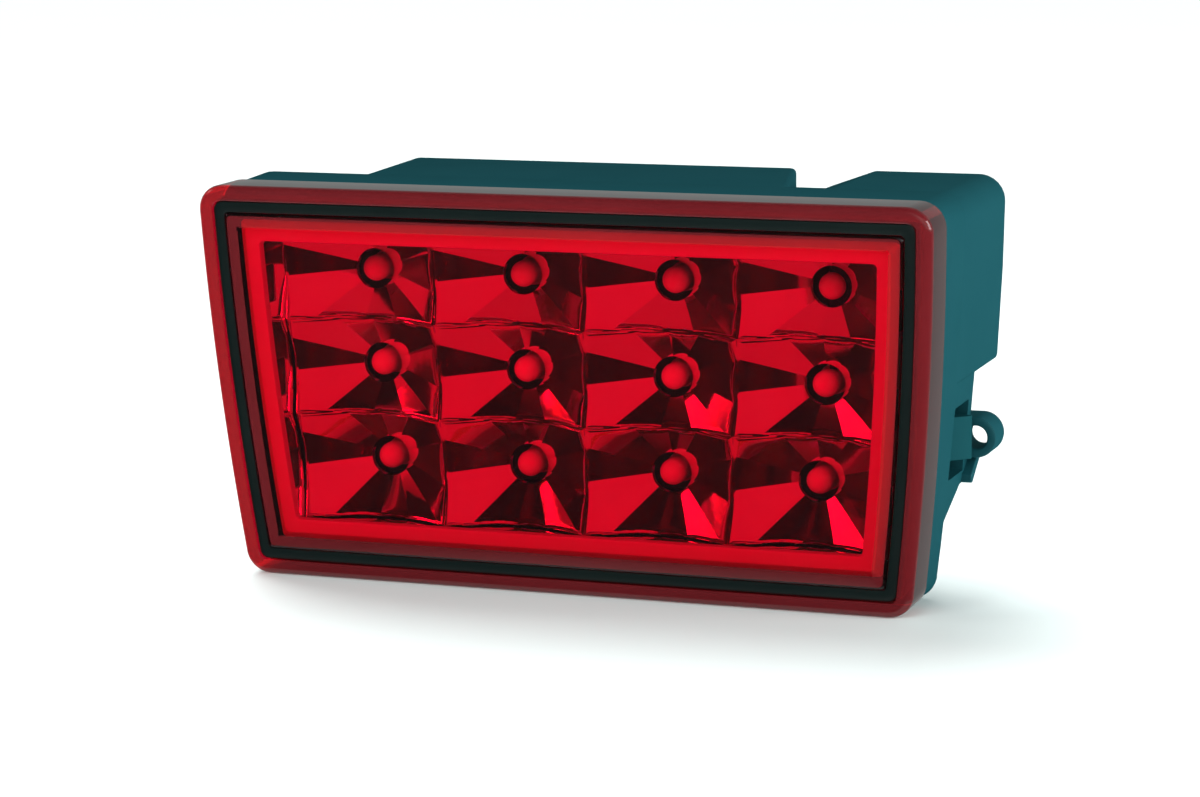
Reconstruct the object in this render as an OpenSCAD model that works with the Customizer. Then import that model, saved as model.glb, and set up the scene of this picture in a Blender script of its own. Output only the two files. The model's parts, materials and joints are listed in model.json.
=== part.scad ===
// Rear fog and brake lamp for a bumper opening: a raked red lens on a black
// moulded housing, a bright reflector of bowls over a board of round LEDs,
// and two sprung side catches. Millimetres, +Z up, +X to the right of the
// lens seen from outside, +Y towards the vehicle. The origin is midway
// between the two mounting ear holes, on the ears' rear faces.

/* [Lens outline] */
// Width of the lens along its top edge
lens_top_w = 142; // [136:1:150]
// Width of the lens along its bottom edge
lens_bottom_w = 131; // [128:0.2:134]
// Height of the lens
lens_h = 75.6; // [74:0.2:78]
// How far each side bows outward at mid height
side_bow = 1.1; // [0.6:0.1:1.4]
// Corner radius of the lens outline
corner_r = 4.8; // [4:0.1:6]
// Backward rake of the lens face, in degrees
face_rake = 4.9; // [3:0.1:5.5]

/* [Lens and tray] */
// Depth of the lens side wall behind its face
lens_skirt = 10.4; // [9:0.1:11]
// Wall of the lens and of the housing tray
shell_wall = 2.2; // [1.8:0.1:2.4]
// Thickness of the lens face
face_wall = 2.6; // [2.2:0.1:2.8]
// Depth of the groove that holds the trim ring
groove_depth = 1.4; // [1:0.1:1.5]
// Thickness of the sealant bead between lens and tray
seal_gap = 0.6; // [0.4:0.1:0.8]
// Distance from the face centre to the back of the tray
tray_back = 21.8; // [21.4:0.1:22.2]

/* [Rear body] */
// Distance from the face centre to the back of the main body
body_back = 38.5; // [38.5:0.1:40]
// Distance from the face centre to the back of the two rear boxes
box_back = 54; // [50:0.5:58]
// Height of the rear boxes above the lens centre
box_top = 37.4; // [36.5:0.1:37.6]
// Height of the main body above the lens centre
body_top = 34; // [33.4:0.1:34.6]
// Wall of the rear body
body_wall = 1.8; // [1.6:0.1:2]

/* [Lamp grid] */
// Distance between LED columns in the middle row
led_pitch_x = 29.6; // [29:0.1:30]
// How much the column distance grows with each row upwards
led_taper = 0.8; // [0.4:0.1:0.9]
// Distance between LED rows
led_pitch_z = 18.3; // [18:0.1:18.5]
// Height of the middle LED row above the lens centre
led_row_z = 1.2; // [0.8:0.1:1.4]
// Radius of the round LED body
led_r = 2.5; // [2.4:0.1:2.6]
// Radius of each reflector bowl
bowl_r = 17.5; // [17:0.1:18]

/* [Mounting ears] */
// Distance between the two mounting hole centres
hole_spacing = 139; // [139:0.2:141]
// Radius of each mounting hole
hole_r = 2.2; // [2:0.1:2.3]
// Height of the holes, measured from the lens centre
ear_z = -10; // [-10.5:0.1:-9.5]
// Thickness of each ear
ear_t = 2.5; // [2:0.1:3]
// Length of the boss round each mounting hole
ear_boss = 7; // [5:0.5:7]

/* [Hidden] */
$fn = 48;

rows = 3;
columns = 4;
half_h = lens_h / 2;
rake_tan = tan(face_rake);
far = 200;

// Insets of the lens face's steps, from the outline
rim_w = 3.0;
groove_w = 2.2;
reflector_inset = 7.9;
bezel_w = 2.8;

// The rear of the ears is the origin plane
ear_back = body_back + 1.5 + ear_t;
ear_x = hole_spacing / 2;
ear_r = 3.9;
ear_flange = 1.4;

// Rear body
body_inset = 0.5;
body_low_front = -28.4;
body_low_back = -21;
body_low_y = 35.5;
tray_floor = 1.8;
cavity_half_w = 56.3;
box_low = 2;
hump_low = 12;

// Depths behind the face centre
bezel_y = 2.8;
bowl_y = 22;
bowl_clip_y = 19.6;
board_y = 28.5;
board_t = 1.6;
board_back = board_y + board_t;
board_half_w = 53;
board_low = -21.6;
board_high = 27;

// Screws
post_r = 3;
pilot_r = 0.9;
screw_r = 0.9;
screw_len = 5.5;
board_hole_r = 1.2;
board_screws_at = [[-50, 24], [39, 24], [-50, -8], [50, -8], [0, 10.3], [6, -8]];
lugs_at = [[-63.2, 0], [63.2, 0]];
lug_t = 1.8;
lug_back = 16.3;

// Tongue of the tray that locates the lens
tongue_front = 3.2;
tongue_t = 1.7;
tongue_gap = 0.3;
step_t = 2;

// Connector socket
socket_x = -10;
socket_z = -6;
socket_w = 16;
socket_h = 11;
socket_wall = 1.5;
socket_len = 11;
socket_flange = [26, 15];
socket_flange_t = 1.5;
socket_seal_t = 0.8;
pin_gap = 6;
pin_t = 0.8;

// Smoothing capacitor
can_r = 4;
can_len = 6;

// Breather
breather_x = 14;
breather_z = -8;
breather_r = 5;

// Side catches, hinged at the front of each side window
window_y = [24.2, 34.6];
window_z = [-16.2, -2.6];
pocket_x = 58.2;
catch_x = 65.2;
catch_y = 26;
catch_gap = 0.35;
catch_shoulder = 2.4;
catch_barrel_r = 1.6;
catch_bore_r = 0.75;
catch_pin_r = 0.7;
coil_r = 1.25;
coil_wire_r = 0.28;
coil_turns = 4;
coil_z = -12.2;
coil_gap_h = 3.2;

function side_x(z) = (lens_top_w + lens_bottom_w) / 4
    + (lens_top_w - lens_bottom_w) / 4 * z / half_h
    + side_bow * (1 - pow(z / half_h, 2));

// Right half of the outline, from bottom to top, set in by d
function right_half(d) = let (
        r = max(corner_r - d, 0.9),
        top = half_h - d - r,
        side_steps = 6,
        arc_steps = 6
    ) concat(
        [for (i = [0:arc_steps - 1]) let (a = -90 + 90 * i / arc_steps)
            [side_x(-top) - d - r + r * cos(a), -top + r * sin(a)]],
        [for (i = [0:side_steps]) let (z = -top + 2 * top * i / side_steps)
            [side_x(z) - d, z]],
        [for (i = [1:arc_steps]) let (a = 90 * i / arc_steps)
            [side_x(top) - d - r + r * cos(a), top + r * sin(a)]]
    );

function outline(d) = let (half = right_half(d), n = len(half))
    concat(half, [for (i = [n - 1:-1:0]) [-half[i][0], half[i][1]]]);

function led_x(row, column) =
    (column - (columns + 1) / 2) * (led_pitch_x + led_taper * (2 - row));
function led_z(row) = led_row_z + led_pitch_z * (2 - row);

// Moves the design from the lens centre to the row's own origin
module placed() {
    translate([0, -ear_back, -ear_z]) children();
}

// Extrudes a front-view shape from depth y0 to depth y1
module along_y(y0, y1) {
    translate([0, y1, 0]) rotate([90, 0, 0]) linear_extrude(y1 - y0) children();
}

// Extrudes a side-view shape, given as depth and height, across the lamp
module across_x(width) {
    translate([-width / 2, 0, 0]) rotate([90, 0, 90]) linear_extrude(width) children();
}

// Depth and height points between two planes parallel to the raked face
module raked_slab(y0, y1) {
    across_x(far)
        polygon([
            [y0 + half_h * rake_tan, -half_h],
            [y1 + half_h * rake_tan, -half_h],
            [y1 - half_h * rake_tan, half_h],
            [y0 - half_h * rake_tan, half_h]
        ]);
}

// A ring of the outline between two insets and two raked depths
module raked_ring(inset_0, inset_1, y0, y1) {
    intersection() {
        raked_slab(y0, y1);
        along_y(-10, 60) difference() {
            polygon(outline(inset_0));
            polygon(outline(inset_1));
        }
    }
}

module raked_plate(inset, y0, y1) {
    intersection() {
        raked_slab(y0, y1);
        along_y(-10, 60) polygon(outline(inset));
    }
}

module y_cylinder(x, z, y0, y1, r) {
    translate([x, y1, z]) rotate([90, 0, 0]) cylinder(r = r, h = y1 - y0);
}

module y_block(x, z, y0, y1, size) {
    translate([x - size[0] / 2, y0, z - size[1] / 2]) cube([size[0], y1 - y0, size[1]]);
}

module lens() {
    color("crimson") placed() {
        difference() {
            raked_plate(0, 0, face_wall);
            raked_ring(rim_w, rim_w + groove_w, -1, groove_depth);
        }
        raked_ring(0, shell_wall, face_wall, lens_skirt);
    }
}

module lens_trim_ring() {
    color("black") placed()
        raked_ring(rim_w + 0.05, rim_w + groove_w - 0.05, 0.4, groove_depth);
}

module perimeter_seal() {
    color("dimgray") placed()
        raked_ring(0.3, shell_wall, lens_skirt, lens_skirt + seal_gap);
}

// Main body behind the tray, shrunk by the inset on its outer faces
module main_body(inset, y0) {
    intersection() {
        along_y(y0, body_back - inset) intersection() {
            polygon(outline(body_inset + inset));
            translate([-far / 2, -far / 2]) square([far, far / 2 + body_top - inset]);
        }
        across_x(far)
            polygon([
                [y0 - 1, body_low_front + inset],
                [tray_back, body_low_front + inset],
                [body_low_y, body_low_back + inset],
                [body_back + 1, body_low_back + inset],
                [body_back + 1, far / 2],
                [y0 - 1, far / 2]
            ]);
    }
}

// Long rear box on top, seen from above, with an angled right end
module hump(inset, y0) {
    translate([0, 0, hump_low + inset])
        linear_extrude(box_top - hump_low - 2 * inset)
            polygon([
                [-48.2 + inset, y0],
                [36.5 - inset, y0],
                [36.5 - inset, tray_back + 3],
                [29.3 - inset, box_back - inset],
                [-50.2 + inset, box_back - inset]
            ]);
}

// Deep rear box on the right, its outer side flush with the lens outline
module right_box(inset, y0) {
    corner = 5 - inset;
    top = box_top - inset;
    low = box_low + inset;
    along_y(y0, box_back - inset)
        polygon(concat(
            [
                [43 + inset, low],
                [side_x(low) - inset, low],
                [side_x((low + top) / 2) - inset, (low + top) / 2]
            ],
            [for (i = [0:6]) let (a = 15 * i)
                [side_x(top - corner) - inset - corner + corner * cos(a), top - corner + corner * sin(a)]],
            [
                [45 + inset, top],
                [36 + inset, top - 3.2],
                [36 + inset, top - 6],
                [43 + inset, top - 6]
            ]
        ));
}

// Mounting ear with its boss, flange and brace, on the right for side = 1.
// The housing cuts the bolt's bore through it.
module ear(side) {
    root_x = side_x(ear_z) - 4;
    width = ear_x - root_x;
    boss_y = ear_back - ear_boss;
    mirror([side < 0 ? 1 : 0, 0, 0]) {
        translate([root_x, ear_back - ear_t, ear_z - ear_r]) cube([width, ear_t, 2 * ear_r]);
        y_cylinder(ear_x, ear_z, boss_y, ear_back, ear_r);
        // Flange that carries the boss, level with its top
        translate([root_x, boss_y, ear_z + ear_r - ear_flange])
            cube([width, ear_boss, ear_flange]);
        // Web that ties the ear's root to the rear wall
        translate([root_x, body_back - 1, ear_z - ear_r])
            cube([2.6, ear_back - body_back + 1, 2 * ear_r]);
        // Brace running forward and down along the side wall
        translate([root_x + 1.4, 0, 0]) rotate([90, 0, 90]) linear_extrude(3.2)
            polygon([
                [ear_back, ear_z - ear_r],
                [ear_back, ear_z - ear_r + 1.6],
                [body_back - 4, ear_z - ear_r - 3.2],
                [body_back - 4, ear_z - ear_r - 5]
            ]);
    }
}

module board_posts() {
    for (at = board_screws_at)
        difference() {
            y_cylinder(at[0], at[1], board_back, body_back - 0.5, post_r);
            y_cylinder(at[0], at[1], board_y, board_back + screw_len - 1, pilot_r);
        }
}

// Ring inside the lens skirt, on a step of the tray
module lens_tongue() {
    outer = shell_wall + tongue_gap;
    step = lens_skirt + seal_gap;
    raked_ring(shell_wall - 0.5, outer + tongue_t, step, step + step_t);
    raked_ring(outer, outer + tongue_t, tongue_front, step + 0.5);
}

// Pocket behind a side window, with a floor wall left around it
module catch_pocket(side, wall) {
    mirror([side < 0 ? 1 : 0, 0, 0])
        translate([pocket_x - wall, window_y[0] - 1 - wall, window_z[0] - wall])
            cube([
                12 + wall,
                window_y[1] - window_y[0] + 2 + 2 * wall,
                window_z[1] - window_z[0] + 2 * wall
            ]);
}

module housing() {
    floor_y = tray_back - tray_floor;
    color("darkslategray") placed() {
        difference() {
            union() {
                intersection() {
                    along_y(-10, tray_back) polygon(outline(0));
                    raked_slab(lens_skirt + seal_gap, 60);
                }
                main_body(0, floor_y);
                hump(0, tray_back - 1);
                right_box(0, tray_back - 1);
                ear(1);
                ear(-1);
            }
            along_y(-10, floor_y) polygon(outline(shell_wall));
            difference() {
                intersection() {
                    main_body(body_wall, floor_y - 1);
                    union() {
                        translate([-cavity_half_w, 0, -far / 2]) cube([2 * cavity_half_w, far, far]);
                        translate([-far / 2, 0, box_low + body_wall]) cube([far, far, far]);
                    }
                }
                catch_pocket(1, body_wall);
                catch_pocket(-1, body_wall);
            }
            hump(body_wall, tray_back + 1);
            right_box(body_wall, tray_back + 1);
            for (side = [1, -1]) {
                catch_pocket(side, 0);
                y_cylinder(side * ear_x, ear_z, ear_back - ear_boss - 0.4, ear_back + 1, hole_r);
                mirror([side < 0 ? 1 : 0, 0, 0])
                    translate([catch_x, catch_y, window_z[0] - 1.2])
                        cylinder(r = catch_pin_r, h = window_z[1] - window_z[0] + 2.4);
            }
            y_block(socket_x, socket_z, body_back - 5, body_back + 5, [socket_w - 2, socket_h - 2]);
            y_cylinder(breather_x, breather_z, body_back - 5, body_back + 5, 1.5);
            for (dx = [-10.2, 10.2])
                y_cylinder(socket_x + dx, socket_z, body_back - 5, body_back + 5, pilot_r);
        }
        lens_tongue();
        board_posts();
        for (at = lugs_at)
            difference() {
                y_cylinder(at[0], at[1], lug_back, floor_y + 0.5, 1.9);
                y_cylinder(at[0], at[1], lug_back - 1, floor_y + 1, pilot_r);
            }
    }
}

module bowl(row, column, r) {
    x = led_x(row, column);
    z = led_z(row);
    centre_y = bowl_y - bowl_r;
    translate([x, centre_y, z]) sphere(r = r);
    y_cylinder(x, z, centre_y - 20, centre_y, r);
}

module reflector() {
    shell = 1.4;
    skirt = 1.4;
    bezel_t = 1.6;
    color("whitesmoke") placed() {
        raked_ring(reflector_inset, reflector_inset + bezel_w, bezel_y, bezel_y + bezel_t);
        intersection() {
            raked_slab(bezel_y + bezel_t, 60);
            along_y(-10, bowl_clip_y) difference() {
                polygon(outline(reflector_inset));
                polygon(outline(reflector_inset + skirt));
            }
        }
        difference() {
            intersection() {
                along_y(-10, 60) polygon(outline(reflector_inset + skirt / 2));
                raked_slab(bezel_y + bezel_t, 60);
                // Clear of the housing's floor behind the tray
                across_x(far)
                    polygon([
                        [-20, -far / 2],
                        [bowl_clip_y, -far / 2],
                        [bowl_clip_y, body_low_front + body_wall + 0.2],
                        [far / 2, body_low_front + body_wall + 0.2],
                        [far / 2, far / 2],
                        [-20, far / 2]
                    ]);
                union() {
                    for (row = [1:rows], column = [1:columns]) bowl(row, column, bowl_r + shell);
                }
            }
            for (row = [1:rows], column = [1:columns]) {
                bowl(row, column, bowl_r);
                y_cylinder(led_x(row, column), led_z(row), 10, 40, led_r + 0.7);
            }
        }
        // Screw lugs at mid height
        for (at = lugs_at)
            difference() {
                union() {
                    y_cylinder(at[0], at[1], lug_back - lug_t, lug_back, 2.1);
                    y_block(at[0] * 0.97, at[1], lug_back - lug_t, lug_back, [4, 4.2]);
                }
                y_cylinder(at[0], at[1], 10, 20, 1.05);
            }
    }
}

// Pan head screw, head in front, tip towards the back
module screw(x, z, seat_y, length, head_r) {
    difference() {
        union() {
            y_cylinder(x, z, seat_y - 1.3, seat_y, head_r);
            y_cylinder(x, z, seat_y - 0.1, seat_y + length, screw_r);
        }
        for (size = [[2.2, 0.5], [0.5, 2.2]])
            y_block(x, z, seat_y - 2, seat_y - 0.7, size);
    }
}

module reflector_screws() {
    color("silver") placed()
        for (at = lugs_at) screw(at[0], at[1], lug_back - lug_t, 5, 1.7);
}

module circuit_board() {
    color("darkgreen") placed()
        difference() {
            translate([-board_half_w, board_y, board_low])
                cube([2 * board_half_w, board_t, board_high - board_low]);
            for (at = board_screws_at)
                y_cylinder(at[0], at[1], board_y - 1, board_back + 1, board_hole_r);
            for (row = [1:rows], column = [1:columns], dx = [-1.27, 1.27])
                translate([led_x(row, column) + dx, board_back + 1, led_z(row)])
                    rotate([90, 0, 0]) cylinder(r = 0.4, h = board_t + 2, $fn = 16);
            for (dx = [-pin_gap / 2, pin_gap / 2])
                y_block(socket_x + dx, socket_z, board_y - 1, board_back + 1, [1, 1]);
        }
}

module board_screws() {
    color("silver") placed()
        for (at = board_screws_at) screw(at[0], at[1], board_y, screw_len, 2.2);
}

// Round LED: leads, flange, body and dome
module led(row, column) {
    x = led_x(row, column);
    z = led_z(row);
    color("red") placed() {
        y_cylinder(x, z, board_y - 1, board_y, led_r + 0.4);
        y_cylinder(x, z, board_y - 6.1, board_y - 0.9, led_r);
        translate([x, board_y - 6.1, z]) sphere(r = led_r);
        for (dx = [-1.27, 1.27])
            y_cylinder(x + dx, z, board_y - 0.1, board_back + 1.4, 0.3);
    }
}

module series_resistors() {
    color("tan") placed()
        for (column = [0:3]) {
            x = -28 + 8 * column;
            y_block(x, 18, board_back, board_back + 0.6, [3.2, 1.6]);
        }
}

module input_diodes() {
    color("dimgray") placed()
        for (dx = [0, 7]) y_block(socket_x - 20 + dx, -3, board_back, board_back + 2.2, [4.3, 3.6]);
}

module flasher_chip() {
    color("dimgray") placed() {
        y_block(12, 16, board_back + 0.1, board_back + 1.6, [5, 4]);
        for (i = [0:3], side = [-1, 1])
            y_block(10.1 + 1.27 * i, 16 + side * 2.5, board_back, board_back + 0.4, [0.45, 1.2]);
    }
}

module voltage_regulator() {
    color("dimgray") placed() {
        y_block(30, 16, board_back, board_back + 2.3, [6.5, 6.1]);
        y_block(30, 20, board_back, board_back + 0.5, [5.2, 2]);
    }
}

module smoothing_capacitor() {
    color("steelblue") placed()
        difference() {
            y_cylinder(-40, 10, board_back, board_back + can_len, can_r);
            for (size = [[6, 0.3], [0.3, 6]])
                y_block(-40, 10, board_back + can_len - 0.3, board_back + can_len + 1, size);
        }
}

module terminal_pins() {
    color("gold") placed()
        for (dx = [-pin_gap / 2, pin_gap / 2])
            y_block(socket_x + dx, socket_z, board_y - 0.4, body_back + socket_len - 1, [pin_t, pin_t]);
}

// Socket for the vehicle's plug, open to the rear
module connector_socket() {
    flange_y = body_back + socket_seal_t;
    color("darkgray") placed()
        difference() {
            union() {
                y_block(socket_x, socket_z, flange_y, flange_y + socket_flange_t, socket_flange);
                y_block(socket_x, socket_z, flange_y, body_back + socket_len + 1, [socket_w, socket_h]);
                y_block(
                    socket_x, socket_z, body_back - body_wall - 1, flange_y + 0.1,
                    [socket_w - 2.6, socket_h - 2.6]
                );
                y_block(socket_x, socket_z + socket_h / 2 + 0.4, body_back + 4, body_back + 9, [4, 1.6]);
            }
            y_block(
                socket_x, socket_z, flange_y + socket_flange_t, far,
                [socket_w - 2 * socket_wall, socket_h - 2 * socket_wall]
            );
            for (dx = [-pin_gap / 2, pin_gap / 2])
                y_block(socket_x + dx, socket_z, 0, far, [pin_t, pin_t]);
            for (dx = [-10.2, 10.2])
                y_cylinder(socket_x + dx, socket_z, 0, far, 1.1);
        }
}

module socket_seal() {
    color("orange") placed()
        difference() {
            y_block(socket_x, socket_z, body_back, body_back + socket_seal_t, [17.4, 12.4]);
            y_block(socket_x, socket_z, 0, far, [socket_w - 1.6, socket_h - 1.6]);
        }
}

module socket_screws() {
    seat = body_back + socket_seal_t + socket_flange_t;
    color("silver") placed()
        for (dx = [-10.2, 10.2])
            difference() {
                union() {
                    y_cylinder(socket_x + dx, socket_z, seat, seat + 1.3, 1.8);
                    y_cylinder(socket_x + dx, socket_z, seat - 5, seat + 0.1, screw_r);
                }
                for (size = [[2.2, 0.5], [0.5, 2.2]])
                    y_block(socket_x + dx, socket_z, seat + 0.7, seat + 2, size);
            }
}

module breather_cap() {
    color("gray") placed()
        difference() {
            y_cylinder(breather_x, breather_z, body_back, body_back + 3.4, breather_r);
            y_cylinder(breather_x, breather_z, body_back - 1, body_back + 2, breather_r - 1.2);
            for (a = [0:60:300])
                translate([breather_x, body_back + 2.6, breather_z]) rotate([0, a, 0])
                    translate([breather_r - 1.6, -0.5, -0.6]) cube([3, 3, 1.2]);
        }
}

module breather_membrane() {
    color("white") placed()
        y_cylinder(breather_x, breather_z, body_back, body_back + 0.4, breather_r - 1.3);
}

// Catch: a hinged tongue, narrower than its barrel, whose tooth stands out of
// the side window
module catch(side) {
    low = window_z[0] + catch_gap;
    high = window_z[1] - catch_gap;
    tip_y = window_y[1] - 0.4;
    color("slategray") placed() mirror([side < 0 ? 1 : 0, 0, 0])
        difference() {
            union() {
                translate([catch_x, catch_y, low]) cylinder(r = catch_barrel_r, h = high - low);
                translate([0, 0, low + catch_shoulder])
                    linear_extrude(high - low - 2 * catch_shoulder)
                    polygon([
                        [catch_x - 1.4, catch_y],
                        [catch_x + 1.4, catch_y],
                        [catch_x + 1.1, 29.5],
                        [catch_x + 4.2, 32.4],
                        [catch_x + 4.2, 33.2],
                        [catch_x + 0.6, tip_y],
                        [catch_x - 1.4, tip_y]
                    ]);
            }
            translate([catch_x, catch_y, -far / 2]) cylinder(r = catch_bore_r, h = far);
            // Notch around the return spring
            translate([catch_x - 2.2, catch_y - 2.2, coil_z - coil_gap_h / 2])
                cube([5, 4.4, coil_gap_h]);
        }
}

module catch_right() {
    catch(1);
}

module catch_left() {
    catch(-1);
}

module catch_pins() {
    color("silver") placed()
        for (side = [1, -1])
            mirror([side < 0 ? 1 : 0, 0, 0])
                translate([catch_x, catch_y, window_z[0] - 1.2])
                    cylinder(r = catch_pin_r, h = window_z[1] - window_z[0] + 2.4);
}

// Close-wound return coils, as touching rings on each pin
module catch_springs() {
    color("silver") placed()
        for (side = [1, -1], i = [0:coil_turns - 1])
            mirror([side < 0 ? 1 : 0, 0, 0])
                translate([catch_x, catch_y, coil_z + (i - (coil_turns - 1) / 2) * 0.62])
                    rotate_extrude()
                        translate([coil_r - coil_wire_r + 0.1, 0]) circle(r = coil_wire_r, $fn = 16);
}

lens();
lens_trim_ring();
perimeter_seal();
housing();
reflector();
reflector_screws();
circuit_board();
board_screws();
led(1, 1);  // led_r1c1
led(1, 2);  // led_r1c2
led(1, 3);  // led_r1c3
led(1, 4);  // led_r1c4
led(2, 1);  // led_r2c1
led(2, 2);  // led_r2c2
led(2, 3);  // led_r2c3
led(2, 4);  // led_r2c4
led(3, 1);  // led_r3c1
led(3, 2);  // led_r3c2
led(3, 3);  // led_r3c3
led(3, 4);  // led_r3c4
series_resistors();
input_diodes();
flasher_chip();
voltage_regulator();
smoothing_capacitor();
terminal_pins();
connector_socket();
socket_seal();
socket_screws();
breather_cap();
breather_membrane();
catch_right();
catch_left();
catch_pins();
catch_springs();
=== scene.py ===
import json
import math

import bmesh
import bpy
from mathutils import Matrix, Vector


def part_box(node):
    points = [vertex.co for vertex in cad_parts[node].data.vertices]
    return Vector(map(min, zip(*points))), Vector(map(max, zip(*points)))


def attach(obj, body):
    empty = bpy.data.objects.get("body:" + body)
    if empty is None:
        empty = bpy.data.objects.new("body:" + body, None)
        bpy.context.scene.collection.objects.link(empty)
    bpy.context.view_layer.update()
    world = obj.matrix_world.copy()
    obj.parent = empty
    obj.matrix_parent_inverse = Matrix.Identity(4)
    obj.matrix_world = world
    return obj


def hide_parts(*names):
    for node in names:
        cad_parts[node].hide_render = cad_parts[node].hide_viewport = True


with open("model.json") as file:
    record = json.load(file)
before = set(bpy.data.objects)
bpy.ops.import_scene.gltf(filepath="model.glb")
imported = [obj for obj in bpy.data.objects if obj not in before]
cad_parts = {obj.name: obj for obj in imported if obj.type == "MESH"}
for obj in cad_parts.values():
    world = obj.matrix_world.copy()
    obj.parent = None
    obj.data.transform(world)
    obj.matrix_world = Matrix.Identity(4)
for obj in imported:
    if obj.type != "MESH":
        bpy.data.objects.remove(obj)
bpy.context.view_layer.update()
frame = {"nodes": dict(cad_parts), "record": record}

# ---------------------------------------------------------------- dimensions
# Lengths are in millimetres in the lens frame: origin at the centre of the
# lens face, +X right, +Y towards the vehicle, +Z up. row() turns them into
# the frame's metres.
MM = 0.001
TOP_W, BOTTOM_W, SIDE_BOW, CORNER = 142.0, 131.0, 1.1, 4.8
RAKE = math.tan(math.radians(4.9))
SKIRT = 10.4  # depth of the lens's side walls
PANEL_CROWN = 0.5  # how far the lens's panel bulges
LENS_LOW, LENS_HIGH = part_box("lens")
HALF_H = (LENS_HIGH.z - LENS_LOW.z) / 2 / MM
CENTRE_Y = (LENS_LOW.y + LENS_HIGH.y) / 2 - SKIRT * MM / 2
CENTRE_Z = (LENS_LOW.z + LENS_HIGH.z) / 2

# Front tray, main body, and the deep box and long hump behind it.
TRAY_BACK, TRAY_FLOOR = 21.8, 20.0
BODY_LOW, BODY_STEP, BODY_TOP = -28.4, -21.0, 34.0
BODY_BACK, BODY_WALL = 38.5, 1.8
SLOPE_RISE, SLOPE_BACK = 7.4, 35.5  # rise of the body's sloping floor, and where it ends
BOX_BACK, BOX_TOP, BOX_LOW = 54.0, 37.4, 2.0
BOX_LEFT, BOX_LIP = 43.0, 36.0
HUMP_LOW = 12.0
OUTSIDE = 80.0  # X beyond everything, for cutters

# Grid of LEDs and bowls. The columns spread by PITCH_TAPER for each row up.
ROWS, COLUMNS = 3, 4
PITCH_X, PITCH_TAPER, PITCH_Z, ROW_Z = 29.6, 0.8, 18.3, 1.2
BOWL_Y = 21.8
BOWL_SLOPE, BOWL_CURVE = 0.55, 0.006
BOWL_FRONT = 5.0  # no bowl comes nearer the face than this
BOWL_LOW, BOWL_HIGH = -28.2, 28.3
BOWL_SHELL = 1.2
HOLE_R = 3.9
PETALS = [18, 55, 90, 125, 160, 184, 222, 262, 300, 326, 348, 378]  # edges, in degrees
RAY_STEP = 4.5  # widest gap between a bowl's rays, in degrees
EASE_FROM = 0.9  # where along a ray the petals start to level out
RIDGE_W = 0.55
WALL_INSET, WALL_T = 9.3, 1.3  # inner face and thickness of the bezel's wall
SLOT_HIGH, SLOT_DEEP, SLOT_DROP, SLOT_FRONT = 7.2, 5.2, -1.5, 5.9
# Black sheets in the bezel's slots are painted shade for the dark gap behind each slot: their thickness and
# overlap.
SHADE_SHEET_T, SHADE_SHEET_LAP = 0.9, 0.4

LED_R, LED_FLANGE_R, LED_DOME_Y = 2.5, 2.9, 22.4
LEAD_GAP, LEAD_HALF, LEAD_END = 1.27, 0.25, 31.5
BOARD_Y = 28.5

EAR_X, EAR_Z, EAR_R, EAR_FRONT, EAR_BACK, HOLE_BOLT = 69.5, -10, 3.9, 35.5, 42.5, 2.2
# Window of a side catch, as (y, z, corner radius).
WINDOW = [(24.2, -16.2, 0.5), (34.6, -16.2, 0.5), (34.6, -2.6, 0.5), (24.2, -2.6, 0.5)]


def row(x, y, z):
    """A point of the lens frame, in the frame's metres."""
    return Vector((x * MM, CENTRE_Y + y * MM, CENTRE_Z + z * MM))


def side_x(z):
    """Half width of the lens at height z."""
    mean = (TOP_W + BOTTOM_W) / 4
    return mean + (TOP_W - BOTTOM_W) / 4 * z / HALF_H + SIDE_BOW * (1 - (z / HALF_H) ** 2)


def led_x(r, c):
    """X of the LED in row r from the top and column c from the left."""
    return (c - (COLUMNS + 1) / 2) * (PITCH_X + PITCH_TAPER * (2 - r))


def led_z(r):
    """Height of the LEDs in row r from the top."""
    return ROW_Z + PITCH_Z * (2 - r)


# ------------------------------------------------------------- mesh building
def new_object(name, bm, materials, smooth_angle=30.0):
    """A mesh object from bm, with edges sharper than the angle kept crisp."""
    bmesh.ops.remove_doubles(bm, verts=bm.verts, dist=1e-7)
    bmesh.ops.recalc_face_normals(bm, faces=bm.faces)
    limit = math.radians(smooth_angle)
    for edge in bm.edges:
        if len(edge.link_faces) != 2 or edge.calc_face_angle() > limit:
            edge.smooth = False
    for face in bm.faces:
        face.smooth = True
    mesh = bpy.data.meshes.new(name)
    bm.to_mesh(mesh)
    bm.free()
    for material in materials:
        mesh.materials.append(material)
    obj = bpy.data.objects.new(name, mesh)
    bpy.context.scene.collection.objects.link(obj)
    return obj


def add_tube(bm, rings, closed=False, index=0):
    """Skins rings of points, all of one length. A closed tube joins its last
    ring to its first, and an open one is capped at both ends."""
    made = [[bm.verts.new(p) for p in ring] for ring in rings]
    pairs = list(zip(made, made[1:]))
    if closed:
        pairs.append((made[-1], made[0]))
    n = len(made[0])
    faces = []
    for a, b in pairs:
        for i in range(n):
            j = (i + 1) % n
            faces.append(bm.faces.new((a[i], a[j], b[j], b[i])))
    if not closed:
        faces.append(bm.faces.new(made[0]))
        faces.append(bm.faces.new(made[-1]))
    for face in faces:
        face.material_index = index
    return faces


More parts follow.
